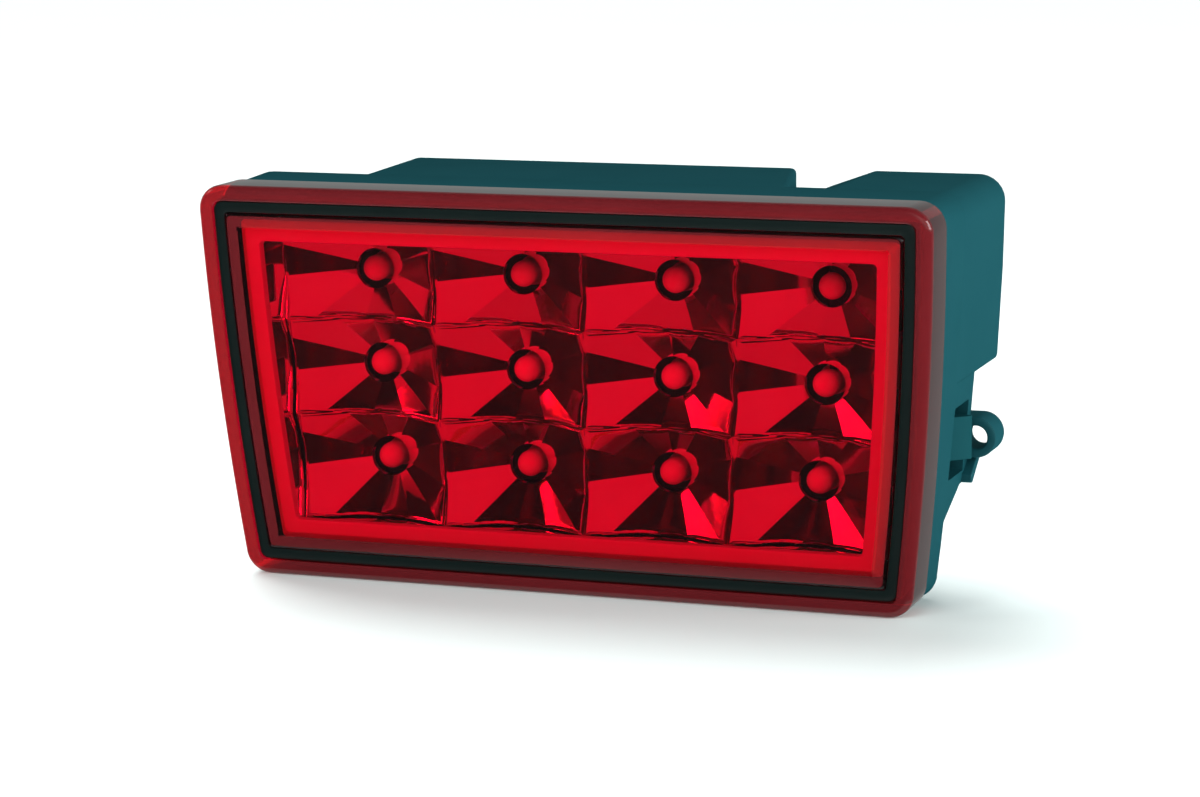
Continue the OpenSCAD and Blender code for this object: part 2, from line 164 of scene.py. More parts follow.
def outline(inset):
    """Points (x, z) round the lens outline, set in, always the same count."""
    r = max(CORNER - inset, 0.9)
    top = HALF_H - inset - r
    arcs, sides, spans = 8, 16, 28
    right = []
    for i in range(arcs):
        a = math.radians(-90 + 90 * i / arcs)
        right.append((side_x(-top) - inset - r + r * math.cos(a), -top + r * math.sin(a)))
    for i in range(sides):
        z = -top + 2 * top * i / sides
        right.append((side_x(z) - inset, z))
    for i in range(arcs + 1):
        a = math.radians(90 * i / arcs)
        right.append((side_x(top) - inset - r + r * math.cos(a), top + r * math.sin(a)))
    left = [(-x, z) for x, z in reversed(right)]

    def across(start, end):
        return [(start[0] + (end[0] - start[0]) * i / spans, start[1]) for i in range(1, spans)]

    return right + across(right[-1], left[0]) + left + across(left[-1], right[0])


def outline_ring(inset, depth, rake=1.0, crown=0.0):
    """A ring of the outline, its depth measured from the raked face plane, or
    from a plane with only part of that rake."""
    points = []
    for x, z in outline(inset):
        bulge = crown * (1 - (x / side_x(z)) ** 2) * (1 - (z / HALF_H) ** 2)
        points.append(row(x, depth - z * RAKE * rake - bulge, z))
    return points


def face_place(face):
    """(inset, depth) of a face's middle, as outline_ring takes them."""
    middle = face.calc_center_median()
    x, z = middle.x / MM, (middle.z - CENTRE_Z) / MM
    inset = min(side_x(z) - abs(x), HALF_H - abs(z))
    return inset, (middle.y - CENTRE_Y) / MM + RAKE * z


def rounded(corners, segments=5):
    """Corners (x, y, radius) as a polygon with arcs, in corner order."""
    out = []
    n = len(corners)
    for i, (x, y, r) in enumerate(corners):
        p = Vector((x, y))
        a = (Vector(corners[i - 1][:2]) - p).normalized()
        b = (Vector(corners[(i + 1) % n][:2]) - p).normalized()
        half = a.angle(b) / 2
        reach = r / math.tan(half)
        start, end = p + a * reach, p + b * reach
        centre = p + (a + b).normalized() * (r / math.sin(half))
        for k in range(segments + 1):
            t = k / segments
            direction = ((start - centre).lerp(end - centre, t)).normalized()
            out.append(tuple(centre + direction * r))
    return out


def inset_corners(corners, d):
    """The same corners moved inward by d, with their radii reduced."""
    area = sum(
        corners[i - 1][0] * corners[i][1] - corners[i][0] * corners[i - 1][1]
        for i in range(len(corners))
    )
    side = 1 if area > 0 else -1
    out = []
    n = len(corners)
    for i, (x, y, r) in enumerate(corners):
        p = Vector((x, y))
        a = (p - Vector(corners[i - 1][:2])).normalized()
        b = (Vector(corners[(i + 1) % n][:2]) - p).normalized()
        na, nb = Vector((-a.y, a.x)) * side, Vector((-b.y, b.x)) * side
        q = p + (na + nb) * (d / (1 + na.dot(nb)))
        out.append((q.x, q.y, max(r - d, 0.2)))
    return out


def bevelled_block(bm, corners, low, high, edge, place, low_edge=None, segments=5, index=0):
    """Extrudes rounded corners from low to high with rounded end edges."""
    low_edge = edge if low_edge is None else low_edge
    rings = []
    steps = 4
    for k in range(steps + 1):
        a = math.pi / 2 * k / steps
        ring = rounded(inset_corners(corners, low_edge * (1 - math.sin(a))), segments)
        rings.append([place(p, low + low_edge * (1 - math.cos(a))) for p in ring])
    for k in range(steps + 1):
        a = math.pi / 2 * k / steps
        ring = rounded(inset_corners(corners, edge * (1 - math.cos(a))), segments)
        rings.append([place(p, high - edge * (1 - math.sin(a))) for p in ring])
    return add_tube(bm, rings, index=index)


# Each of these puts a corner (a, b) at distance t along its axis.
def facing_y(p, t):
    return row(p[0], t, p[1])


def facing_z(p, t):
    return row(p[0], p[1], t)


def facing_x(p, t):
    return row(t, p[0], p[1])


def rectangle(x0, x1, z0, z1, r):
    """Corners of a rectangle, each rounded by r."""
    return [(x1, z0, r), (x1, z1, r), (x0, z1, r), (x0, z0, r)]


def add_lathe(bm, x, z, profile, segments=32, index=0):
    """Turns (radius, y) points about an axis along Y at x, z; ends are capped."""
    rings = []
    for r, y in profile:
        rings.append([
            row(x + r * math.cos(a), y, z + r * math.sin(a))
            for a in (2 * math.pi * i / segments for i in range(segments))
        ])
    return add_tube(bm, rings, index=index)


def combine(target, tools, operation):
    """Applies exact booleans of tools to target and removes the tools."""
    for tool in tools:
        modifier = target.modifiers.new("cut", "BOOLEAN")
        modifier.operation = operation
        modifier.solver = "EXACT"
        modifier.object = tool
    graph = bpy.context.evaluated_depsgraph_get()
    mesh = bpy.data.meshes.new_from_object(target.evaluated_get(graph))
    target.modifiers.clear()
    old = target.data
    target.data = mesh
    bpy.data.meshes.remove(old)
    for tool in tools:
        bpy.data.objects.remove(tool)
    return target


def resmooth(obj, smooth_angle=30.0):
    """Sets crisp and smooth edges again after a boolean."""
    bm = bmesh.new()
    bm.from_mesh(obj.data)
    bmesh.ops.remove_doubles(bm, verts=bm.verts, dist=1e-7)
    limit = math.radians(smooth_angle)
    for edge in bm.edges:
        edge.smooth = len(edge.link_faces) == 2 and edge.calc_face_angle() <= limit
    for face in bm.faces:
        face.smooth = True
    bm.to_mesh(obj.data)
    bm.free()
    return obj


def both_ways(side, near, far):
    """X limits of something on one side of the lamp, lowest first."""
    return sorted((side * near, side * far))


def block(name, corners, low, high, edge, place, low_edge=None, segments=5):
    """A bevelled block as an object of its own, for a boolean."""
    bm = bmesh.new()
    bevelled_block(bm, corners, low, high, edge, place, low_edge, segments)
    return new_object(name, bm, [])


def finish_piece(obj, slot, *nodes, body="lamp"):
    """Puts a piece on its body, in place of its CAD nodes; slot is not used."""
    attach(obj, body)
    if nodes:
        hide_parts(*nodes)
    return obj


# ----------------------------------------------------------------- materials
CLEAR_GLOSS = 0.036  # share of light mirrored by clear plastic seen square on
GLOSS_POWER = 5.0
MOULD_GRAIN, FINE_BUMP, FAINT_BUMP = 2600.0, 0.00002, 0.00001
TEAL_SHEEN, WHITE_SHEEN = (0.15, 0.85, 1.0), (1.0, 1.0, 1.0)


class Nodes:
    """Short names for the nodes that the materials here need."""

    def __init__(self, name):
        self.material = bpy.data.materials.new(name)
        self.material.use_nodes = True
        self.tree = self.material.node_tree
        self.tree.nodes.clear()
        self.out = self.tree.nodes.new("ShaderNodeOutputMaterial")
        self.place = self.tree.nodes.new("ShaderNodeTexCoord").outputs["Object"]

    def add(self, kind, **inputs):
        """A node with its inputs set; _ stands for a space in a socket's name."""
        node = self.tree.nodes.new(kind)
        for key, value in inputs.items():
            self.put(node, key.replace("_", " "), value)
        return node

    def put(self, node, key, value):
        """Sets an input to a number or colour, or links a socket to it."""
        socket = node.inputs[key]
        if hasattr(value, "is_output") and value.is_output:
            self.tree.links.new(value, socket)
        else:
            socket.default_value = value

    def noise(self, scale, detail=4.0, roughness=0.55):
        """Noise from 0 to 1 in the object's own space, scale per metre."""
        return self.add(
            "ShaderNodeTexNoise", Vector=self.place, Scale=scale, Detail=detail, Roughness=roughness
        ).outputs["Fac"]

    def ramp(self, value, low, high):
        """value's 0 to 1 as low to high, which are numbers or colours."""
        if isinstance(low, tuple):
            node = self.add("ShaderNodeMix")
            node.data_type = "RGBA"
            self.put(node, 0, value)
            node.inputs[6].default_value = (*low, 1)
            node.inputs[7].default_value = (*high, 1)
            return node.outputs[2]
        node = self.add("ShaderNodeMapRange", Value=value)
        node.inputs["To Min"].default_value = low
        node.inputs["To Max"].default_value = high
        return node.outputs[0]

    def bump(self, height, strength, distance):
        return self.add("ShaderNodeBump", Height=height, Strength=strength, Distance=distance).outputs[0]

    def slab_gloss(self, normal):
        """Share mirrored by a thin clear wall, the same from either side, so
        that light leaving the wall isn't trapped as it would be in a block."""
        facing = self.add("ShaderNodeLayerWeight", Blend=0.5, Normal=normal).outputs["Facing"]
        rise = self.add("ShaderNodeMath")
        rise.operation = "POWER"
        self.tree.links.new(facing, rise.inputs[0])
        rise.inputs[1].default_value = GLOSS_POWER
        return self.ramp(rise.outputs[0], CLEAR_GLOSS, 1.0)

    def blend(self, share, base, over):
        """Mixes two shader nodes; share is how much of over there is."""
        mix = self.add("ShaderNodeMixShader", Fac=share)
        self.tree.links.new(base.outputs[0], mix.inputs[1])
        self.tree.links.new(over.outputs[0], mix.inputs[2])
        return mix

    def surface(self, shader):
        """Makes a shader node the surface, and returns the finished material."""
        self.tree.links.new(shader.outputs[0], self.out.inputs["Surface"])
        return self.material


def plastic(name, dark, light, rough, grain=MOULD_GRAIN, specular=0.5):
    """Moulded plastic: fine grain, soft blotches and a slight sheen change."""
    n = Nodes(name)
    blotch = n.noise(60.0)
    fine = n.noise(grain, 2.0)
    shader = n.add(
        "ShaderNodeBsdfPrincipled",
        Base_Color=n.ramp(blotch, dark, light),
        Roughness=n.ramp(n.noise(140.0), *rough),
        Normal=n.bump(fine, 0.35, FINE_BUMP),
        Specular_IOR_Level=specular,
    )
    return n.surface(shader)


def matt_moulding(name, dark, light, shine, rough, sheen_colour=TEAL_SHEEN):
    """Textured moulding with a weak sheen of a colour of its own."""
    n = Nodes(name)
    normal = n.bump(n.noise(MOULD_GRAIN, 2.0), 0.4, FINE_BUMP)
    tone = n.ramp(n.noise(60.0), dark, light)
    base = n.add("ShaderNodeBsdfDiffuse", Color=tone, Normal=normal)
    patches = n.ramp(n.noise(140.0), *rough)
    sheen = n.add("ShaderNodeBsdfGlossy", Color=(*sheen_colour, 1), Roughness=patches, Normal=normal)
    return n.surface(n.blend(shine, base, sheen))


def metal(name, colour, rough):
    """Plated or drawn metal with faint scratches."""
    n = Nodes(name)
    fine = n.noise(1800.0, 3.0)
    shader = n.add(
        "ShaderNodeBsdfPrincipled",
        Base_Color=n.ramp(n.noise(300.0), tuple(0.85 * c for c in colour), colour),
        Metallic=1.0,
        Roughness=n.ramp(fine, *rough),
        Normal=n.bump(fine, 0.15, FAINT_BUMP),
    )
    return n.surface(shader)


def clear_tinted(name, colour, haze_colour, haze):
    """Tinted clear plastic that lets lamps through, with a polished skin.

    haze is the share of light scattered inside the plastic, which is what
    makes its thick parts look milky."""
    n = Nodes(name)
    normal = n.bump(n.noise(45.0, 2.0), 0.2, FINE_BUMP)
    clear = n.add("ShaderNodeBsdfTransparent", Color=n.ramp(n.noise(25.0), *colour))
    milk = n.add("ShaderNodeBsdfDiffuse", Color=n.ramp(n.noise(35.0), *haze_colour))
    body = n.blend(n.ramp(n.noise(80.0), *haze), clear, milk)
    skin = n.add("ShaderNodeBsdfGlossy", Roughness=0.03, Normal=normal)
    return n.surface(n.blend(n.slab_gloss(normal), body, skin))


def chrome(name):
    """Vacuum metallised plastic: near mirror with faint flow marks."""
    n = Nodes(name)
    shader = n.add(
        "ShaderNodeBsdfPrincipled",
        Base_Color=n.ramp(n.noise(90.0), (0.9, 0.9, 0.9), (0.97, 0.97, 0.97)),
        Metallic=1.0,
        Roughness=n.ramp(n.noise(200.0), 0.03, 0.07),
        Normal=n.bump(n.noise(120.0, 3.0), 0.12, 0.0001),
    )
    return n.surface(shader)


def epoxy(name):
    """LED epoxy: nearly all pale and diffuse, with a glossy dome."""
    n = Nodes(name)
    normal = n.bump(n.noise(400.0), 0.1, FAINT_BUMP)
    clear = n.add("ShaderNodeBsdfTransparent", Color=n.ramp(n.noise(300.0), (0.9, 0.9, 0.9), (1.0, 1.0, 1.0)))
    core = n.add(
        "ShaderNodeBsdfPrincipled",
        Base_Color=n.ramp(n.noise(500.0), (0.96, 0.9, 0.9), (1.0, 0.96, 0.96)),
        Roughness=0.3,
        Normal=normal,
    )
    return n.surface(n.blend(0.95, clear, core))


# Every colour and roughness is a pair, between which a noise pattern varies it.
MATERIALS = {
    "red_lens": clear_tinted(
        "red_lens", ((0.96, 0.04, 0.33), (0.98, 0.06, 0.37)),
        ((0.5, 0.4, 0.4), (0.6, 0.46, 0.46)), (0.004, 0.007),
    ),
    "red_thick": clear_tinted(
        "red_thick", ((0.8, 0.03, 0.05), (0.84, 0.04, 0.06)),
        ((0.34, 0.03, 0.04), (0.4, 0.04, 0.05)), (0.24, 0.28),
    ),
    # The lens's red with a much darker see-through colour for its side walls: painted shade.
    "red_skirt": clear_tinted(
        "red_skirt", ((0.3, 0.015, 0.025), (0.36, 0.02, 0.03)),
        ((0.3, 0.03, 0.05), (0.36, 0.04, 0.06)), (0.05, 0.08),
    ),
    "trim_black": plastic(
        "trim_black", (0.002, 0.006, 0.006), (0.004, 0.01, 0.009), (0.35, 0.5), specular=0.3,
    ),
    "sealant": plastic("sealant", (0.006, 0.004, 0.004), (0.012, 0.008, 0.008), (0.4, 0.55)),
    "housing_black": matt_moulding(
        "housing_black", (0.005, 0.052, 0.065), (0.009, 0.066, 0.08), 0.04, (0.3, 0.42), (0.35, 0.9, 1.0),
    ),
    "reflector_bright": chrome("reflector_bright"),
    "reflector_satin": matt_moulding(
        "reflector_satin", (0.83, 0.8, 0.8), (0.9, 0.87, 0.87), 0.3, (0.35, 0.45), WHITE_SHEEN,
    ),
    "fastener_steel": metal("fastener_steel", (0.62, 0.62, 0.64), (0.25, 0.45)),
    "board_green": plastic("board_green", (0.01, 0.09, 0.03), (0.02, 0.16, 0.05), (0.25, 0.4)),
    "led_epoxy": epoxy("led_epoxy"),
    "resistor_black": plastic("resistor_black", (0.01, 0.01, 0.01), (0.03, 0.03, 0.03), (0.3, 0.5)),
    "component_black": plastic("component_black", (0.01, 0.01, 0.01), (0.02, 0.02, 0.02), (0.4, 0.6)),
    "capacitor_can": metal("capacitor_can", (0.75, 0.76, 0.78), (0.2, 0.3)),
    "terminal_tin": metal("terminal_tin", (0.78, 0.74, 0.62), (0.25, 0.4)),
    "socket_grey": plastic("socket_grey", (0.01, 0.03, 0.034), (0.015, 0.042, 0.046), (0.3, 0.45)),
    "seal_rubber": plastic("seal_rubber", (0.35, 0.09, 0.02), (0.42, 0.12, 0.03), (0.45, 0.6)),
    "breather_grey": plastic("breather_grey", (0.015, 0.03, 0.03), (0.022, 0.042, 0.042), (0.4, 0.5)),
    "membrane_white": plastic("membrane_white", (0.7, 0.7, 0.68), (0.85, 0.85, 0.83), (0.7, 0.9), 4000.0),
    "catch_black": matt_moulding(
        "catch_black", (0.006, 0.05, 0.06), (0.01, 0.065, 0.075), 0.05, (0.25, 0.35),
    ),
    "pin_steel": metal("pin_steel", (0.66, 0.66, 0.68), (0.12, 0.25)),
    "spring_steel": metal("spring_steel", (0.5, 0.5, 0.52), (0.2, 0.35)),
}


# ---------------------------------------------------------------- lens pieces
def arc_profile(inset, depth, r, start, end, steps):
    """Profile points on a quarter round, angles in degrees from the inset axis."""
    return [
        (inset + r * math.cos(math.radians(a)), depth + r * math.sin(math.radians(a)))
        for a in (start + (end - start) * k / steps for k in range(steps + 1))
    ]


def make_lens():
    """The lens: skirt, rounded rim, groove for the trim, step and panel."""
    edge_r, wall = 1.3, 2.2
    panel_t, middle_inset = 2.6, 36.5
    outer = [(0.1, SKIRT), (0.0, SKIRT - 0.1)]
    outer += arc_profile(edge_r, edge_r, edge_r, 180, 270, 8)
    outer += arc_profile(2.65, 0.35, 0.35, 270, 360, 4)
    outer += [(3.0, 1.4), (5.2, 1.4)]
    outer += arc_profile(5.75, 0.75, 0.55, 180, 270, 5)
    outer += [(7.6, 0.02), (7.9, 0.0)]
    bm = bmesh.new()
    rings = [outline_ring(middle_inset, panel_t - 0.1, crown=PANEL_CROWN)]
    for inset in (30.0, 22.0, 15.0, 10.0, 6.0, 3.2):
        rings.append(outline_ring(inset, panel_t, crown=PANEL_CROWN))
    for inset, depth in arc_profile(wall + 0.6, 3.2, 0.6, 270, 180, 4):
        rings.append(outline_ring(inset, depth))
    rings.append(outline_ring(wall, SKIRT - 0.1))
    rings.append(outline_ring(wall - 0.1, SKIRT))
    for inset, depth in outer:
        rings.append(outline_ring(inset, depth, crown=PANEL_CROWN if inset > 5 else 0))
    for inset in (10.0, 15.0, 22.0, 30.0, middle_inset):
        rings.append(outline_ring(inset, 0.0, crown=PANEL_CROWN))
    clear, thick, skirt = range(3)
    for face in add_tube(bm, rings, index=clear):
        inset, depth = face_place(face)
        if inset < 2.9 or 5.9 < inset < 7.8:
            face.material_index = thick
        # The side walls take the darker red, which is painted shade.
        if inset < 1.0 and depth > 1.5:
            face.material_index = skirt
    obj = new_object("lens_shell", bm, [MATERIALS[k] for k in ("red_lens", "red_thick", "red_skirt")])
    return finish_piece(obj, "red_lens", "lens")


def ring_piece(name, profile, slot, *nodes):
    """A closed ring round the outline, from points that outline_ring takes."""
    bm = bmesh.new()
    add_tube(bm, [outline_ring(*p) for p in profile], closed=True)
    obj = new_object(name, bm, [MATERIALS[slot]])
    return finish_piece(obj, slot, *nodes)


def make_lens_rings():
    """Trim strip in the lens's groove, and the bead that seals its skirt."""
    ring_piece(
        "lens_trim",
        [
            (3.05, 1.35), (3.05, 0.75), (3.15, 0.58), (3.35, 0.5),
            (4.85, 0.5), (5.05, 0.58), (5.15, 0.75), (5.15, 1.35),
        ],
        "trim_black", "lens_trim_ring",
    )
    ring_piece(
        "sealant_bead",
        [(0.35, 10.45), (0.25, 10.7), (0.35, 10.95), (2.2, 10.95), (2.2, 10.45)],
        "sealant", "perimeter_seal",
    )


# ------------------------------------------------------------------ reflector
def pitch_at(z):
    """Distance between columns at height z."""
    return PITCH_X + PITCH_TAPER * (z - ROW_Z) / PITCH_Z


def column_edge(c, z):
    """X of the boundary left of column c + 1 at height z."""
    extra = {0: -0.6, COLUMNS: 0.6}.get(c, 0.0)
    return (c - COLUMNS / 2) * pitch_at(z) + extra


def petal_factor(angle):
    """How much farther a flat petal seems to run than its edges do."""
    angle = (angle - PETALS[0]) % 360 + PETALS[0]
    for low, high in zip(PETALS, PETALS[1:]):
        if low <= angle <= high:
            off = math.radians(angle - (low + high) / 2)
            return math.cos(off) / math.cos(math.radians(high - low) / 2)
    return 1.0


def ray_angles():
    """Angles for the cell's rays: petal edges, mirrored both ways so that
    neighbouring cells share their border points, corners and a fine fill."""
    half_x, half_z = PITCH_X / 2, PITCH_Z / 2
    corner = math.degrees(math.atan2(half_z, half_x))
    first = {0.0, 90.0, corner}
    for bound in PETALS:
        a = abs((bound + 180) % 360 - 180)
        first.add(round(min(a, 180 - a), 6))
    ordered = sorted(first)
    filled = []
    for low, high in zip(ordered, ordered[1:]):
        count = max(1, math.ceil((high - low) / RAY_STEP))
        filled += [low + (high - low) * i / count for i in range(count)]
    quarter = filled + [90.0]
    angles = set()
    for a in quarter:
        angles |= {round(b % 360, 6) for b in (a, 180 - a, 180 + a, -a)}
    return sorted(angles)


def border_point(angle):
    """Unit place (u, v) on the cell's border in this direction."""
    c, s = math.cos(math.radians(angle)), math.sin(math.radians(angle))
    reach = min(PITCH_X / 2 / max(abs(c), 1e-9), PITCH_Z / 2 / max(abs(s), 1e-9))
    return 0.5 + reach * c / PITCH_X, 0.5 + reach * s / PITCH_Z


def ridge_round(u, v):
    """Takes the sharp crest off the ridges between cells."""
    total = 0.0
    for place, half in ((u, PITCH_X / 2), (v, PITCH_Z / 2)):
        away = (1 - abs(2 * place - 1)) * half
        s = max(0.0, 1 - away / RIDGE_W)
        total += BOWL_SLOPE / 2 * RIDGE_W * s * s
    return total


def cell_point(r, c, angle, t, z_low, z_high):
    """(x, depth, z) on the bowl of row r, column c, t along the ray."""
    zc = led_z(r)
    u_end, v_end = border_point(angle)
    u, v = 0.5 + (u_end - 0.5) * t, 0.5 + (v_end - 0.5) * t
    z = zc + (v - 0.5) * 2 * (z_high - zc if v > 0.5 else zc - z_low)
    centre = (c - (COLUMNS + 1) / 2) * pitch_at(z)
    edge = column_edge(c, z) if u > 0.5 else column_edge(c - 1, z)
    x = centre + abs(u - 0.5) * 2 * (edge - centre)
    dx, dz = (u - 0.5) * PITCH_X, z - zc
    distance = math.hypot(dx, dz)
    ease = min(1.0, max(0.0, (t - EASE_FROM) / 0.1))
    run = distance * (1 + (1 - ease * ease) * (petal_factor(angle) - 1)) - HOLE_R
    depth = BOWL_Y - BOWL_SLOPE * run - BOWL_CURVE * distance ** 2 + ridge_round(u, v)
    return x, max(depth, BOWL_FRONT - z * RAKE), z


def on_outer_edge(r, c, start, end):
    """Whether the border from one angle to another is the reflector's own edge."""
    (u0, v0), (u1, v1) = border_point(start), border_point(end)
    ends = (
        (c == 1, u0, u1, 0.0), (c == COLUMNS, u0, u1, 1.0),
        (r == 1, v0, v1, 1.0), (r == ROWS, v0, v1, 0.0),
    )
    return any(here and abs(p - at) < 1e-6 and abs(q - at) < 1e-6 for here, p, q, at in ends)


def add_cell(bm, r, c, angles, steps):
    """One bowl with its back, from rays that run from the hole to the border."""
    z_low = BOWL_LOW if r == ROWS else led_z(r) - PITCH_Z / 2
    z_high = BOWL_HIGH if r == 1 else led_z(r) + PITCH_Z / 2
    front, back = [], []
    for angle in angles:
        far = cell_point(r, c, angle, 1.0, z_low, z_high)
        near = HOLE_R / math.hypot(far[0] - led_x(r, c), far[2] - led_z(r))
        ray = [cell_point(r, c, angle, near + (1 - near) * k, z_low, z_high) for k in steps]
        front.append([bm.verts.new(row(*p)) for p in ray])
        back.append([bm.verts.new(row(p[0], p[1] + BOWL_SHELL, p[2])) for p in ray])
    n = len(front)
    for i in range(n):
        a, b, e, f = front[i], front[(i + 1) % n], back[i], back[(i + 1) % n]
        for k in range(len(steps) - 1):
            bm.faces.new((a[k], a[k + 1], b[k + 1], b[k]))
            bm.faces.new((e[k], f[k], f[k + 1], e[k + 1]))
        bm.faces.new((a[0], b[0], f[0], e[0]))
        if on_outer_edge(r, c, angles[i], angles[(i + 1) % n]):
            bm.faces.new((a[-1], e[-1], f[-1], b[-1]))


def make_reflector():
    """Twelve bowls of flat petals in one shell, with a hole for each LED."""
    bm = bmesh.new()
    angles = ray_angles()
    steps = [EASE_FROM * k / 12 for k in range(13)] + [0.92, 0.945, 0.963, 0.975, 0.988, 1.0]
    for r in range(1, ROWS + 1):
        for c in range(1, COLUMNS + 1):
            add_cell(bm, r, c, angles, steps)
    obj = new_object("reflector_shell", bm, [MATERIALS["reflector_bright"]], 9.0)
    return finish_piece(obj, "reflector_bright", "reflector")


def make_bezel():
    """Satin frame round the bowls and its bright walls, slotted by each row, with black sheets in the slots
    as painted shade.
    """
    bm = bmesh.new()
    outer, wall_back = WALL_INSET - WALL_T, 19.3
    walls = add_tube(bm, [outline_ring(*p) for p in (
        (8.1, 2.8), (10.35, 2.8), (10.65, 2.95), (10.8, 3.3), (10.8, 4.6), (10.5, 4.9), (9.5, 5.0),
        (WALL_INSET, 5.3), (WALL_INSET, wall_back, 0), (outer, wall_back, 0), (outer, 4.3),
        (6.9, 4.3), (6.8, 4.1), (6.9, 3.9), (7.8, 3.1),
    )], closed=True)
    for face in walls:
        inset, depth = face_place(face)
        if inset > 9.0 and depth > 5.6:
            face.material_index = 1
    obj = new_object("reflector_bezel", bm, [MATERIALS["reflector_satin"], MATERIALS["reflector_bright"]])
    slots = []
    # Black sheets that fill each slot with painted shade in place of the dark gap behind it.
    shade_sheets = bmesh.new()
    for r in range(1, ROWS + 1):
        z, half = led_z(r) + SLOT_DROP, SLOT_HIGH / 2
        start = SLOT_FRONT - z * RAKE
        end, lap = start + SLOT_DEEP, SHADE_SHEET_LAP
        hole = rectangle(start, end, z - half, z + half, 0.6)
        plate = rectangle(start - lap, end + lap, z - half - lap, z + half + lap, 0.6)
        wall = side_x(z) - 9.0
        for side in (1, -1):
            slots.append(block("slot", hole, *both_ways(side, 55.0, 67.0), 0.1, facing_x))
            bevelled_block(shade_sheets, plate, *both_ways(side, wall, wall + SHADE_SHEET_T), 0.1, facing_x)
    combine(obj, slots, "DIFFERENCE")
    resmooth(obj)
    finish_piece(obj, "reflector_bright")
    shade_sheet_object = new_object("slot_shade_sheets", shade_sheets, [MATERIALS["trim_black"]])
    return finish_piece(shade_sheet_object, "trim_black")


# ----------------------------------------------------------------------- LEDs
def make_led(r, c):
    """Round LED: epoxy dome, lead frame with its cup, chip and two leads."""
    x, z = led_x(r, c), led_z(r)
    bm = bmesh.new()
    dome = [
        (0.25, BOARD_Y), (LED_FLANGE_R, BOARD_Y), (LED_FLANGE_R, BOARD_Y - 0.85),
        (LED_FLANGE_R - 0.1, BOARD_Y - 1.0), (LED_R, BOARD_Y - 1.05), (LED_R, LED_DOME_Y + 0.01),
    ]
    for k in range(1, 12):
        a = math.radians(7.5 * k)
        dome.append((LED_R * math.cos(a), LED_DOME_Y - LED_R * math.sin(a)))
    add_lathe(bm, x, z, dome, 32, 0)
    cup = [(0.2, 26.6), (0.75, 26.5), (1.1, 25.2), (1.15, 24.6), (0.95, 24.55), (0.55, 25.1), (0.1, 25.15)]
    add_lathe(bm, x, z, cup, 20, 1)
    chip = rectangle(x - 0.22, x + 0.22, z - 0.22, z + 0.22, 0.03)
    bevelled_block(bm, chip, 24.85, 25.1, 0.02, facing_y, segments=1, index=2)
    for dx, top in ((-LEAD_GAP, 25.4), (LEAD_GAP, 26.0)):
        lead = rectangle(x + dx - LEAD_HALF, x + dx + LEAD_HALF, z - LEAD_HALF, z + LEAD_HALF, 0.05)
        bevelled_block(bm, lead, top, LEAD_END, 0.05, facing_y, segments=2, index=1)
    obj = new_object(
        f"led_lamp_r{r}c{c}", bm,
        [MATERIALS["led_epoxy"], MATERIALS["terminal_tin"], MATERIALS["membrane_white"]],
    )
    return finish_piece(obj, "led_epoxy", f"led_r{r}c{c}")


# -------------------------------------------------------------------- housing
def side_corners(low, high, inset, r_low, r_high):
    """Front-view corners of a block that follows the lens's bowed sides: three
    up the right one and then three down the left one."""
    mid = (low + high) / 2
    right = [
        (side_x(low) - inset, low, r_low),
        (side_x(mid) - inset, mid, 60.0),
        (side_x(high) - inset, high, r_high),
    ]
    return right + [(-x, z, r) for x, z, r in reversed(right)]


def body_rings(inset, front, back, edge):
    """Main body: rings from front to back, its floor sloping up."""
    def floor(y):
        if y <= TRAY_BACK:
            return BODY_LOW
        return min(BODY_LOW + SLOPE_RISE * (y - TRAY_BACK) / (SLOPE_BACK - TRAY_BACK), BODY_STEP)

    stations = [(front, 0.0), (TRAY_BACK, 0.0), (SLOPE_BACK, 0.0)]
    for k in range(5):
        a = math.pi / 2 * k / 4
        stations.append((back - edge * (1 - math.sin(a)), edge * (1 - math.cos(a))))
    rings = []
    for y, extra in stations:
        low, high = floor(y) + inset + extra, BODY_TOP - inset - extra
        corners = side_corners(low, high, 0.6 + inset + extra, 4.6, 2.6)
        rings.append([facing_y(p, y) for p in rounded(corners)])
    return rings


def tube_object(name, rings):
    """Rings skinned into an object of their own, for a boolean."""
    bm = bmesh.new()
    add_tube(bm, rings)
    return new_object(name, bm, [])


def box_corners(inset=0.0):
    """Deep box, seen from the front: bowed right side, sloped top left."""
    corners = side_corners(BOX_LOW, BOX_TOP, 0.05, 1.2, 5.0)[:3] + [
        (45.5, BOX_TOP, 2.5), (BOX_LIP, BOX_TOP - 3.4, 1.0), (BOX_LIP, 31.0, 0.6),
        (BOX_LEFT, 31.0, 0.6), (BOX_LEFT, BOX_LOW, 1.2),
    ]
    return inset_corners(corners, inset) if inset else corners


def hump_corners(inset=0.0):
    """Long hump, seen from above."""
    front = TRAY_BACK - 1
    corners = [
        (36.5, front, 0.3), (36.5, TRAY_BACK + 3, 0.6), (29.3, BOX_BACK, 1.6),
        (-50.2, BOX_BACK, 1.6), (-48.2, front, 0.3),
    ]
    return inset_corners(corners, inset) if inset else corners


def ear_root():
    """X inside the body where an ear's plate, web and brace start."""
    return side_x(EAR_Z) - 4


def ear_corners():
    """Front-view corners of an ear's plate, round at its outer end."""
    x0, x1 = ear_root(), EAR_X + EAR_R
    low, high, r = EAR_Z - EAR_R, EAR_Z + EAR_R, EAR_R - 0.05
    return [(x0, low, 0.2), (x1, low, r), (x1, high, r), (x0, high, 0.2)]


def mirrored(corners, side):
    """Corners for the right side as they are, or mirrored for the left one."""
    return corners if side > 0 else [(-x, z, r) for x, z, r in reversed(corners)]


